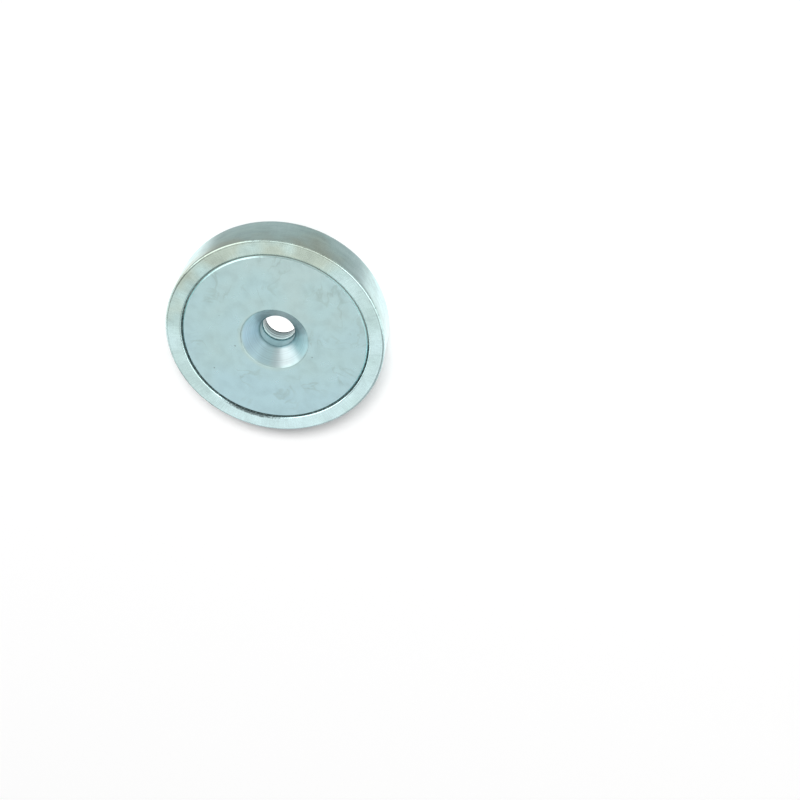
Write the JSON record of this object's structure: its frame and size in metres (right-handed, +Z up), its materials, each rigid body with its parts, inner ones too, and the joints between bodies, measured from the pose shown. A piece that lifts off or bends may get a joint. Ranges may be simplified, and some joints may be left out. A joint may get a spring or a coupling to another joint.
{
  "type": "pot magnet",
  "caption": "Round steel pot with a ring magnet bonded in its open face, and a countersunk hole right through the middle for a fixing screw.",
  "frame": {"origin": "centre of the pot's flat back, on the axis of the screw hole", "axes": "+Z up the screw hole towards the magnetic face; X and Y are any two square directions, because the part is round"},
  "size_m": [0.042, 0.042, 0.0085],
  "materials": {
    "pot_zinc": "turned steel, bright blue zinc plating",
    "magnet_zinc": "satin blue zinc plating, faintly stained",
    "resin": "cured dark resin"
  },
  "bodies": {
    "root": {"steel_pot": "pot_zinc", "ring_magnet": "magnet_zinc", "bonding_resin": "resin"}
  },
  "joints": []
}
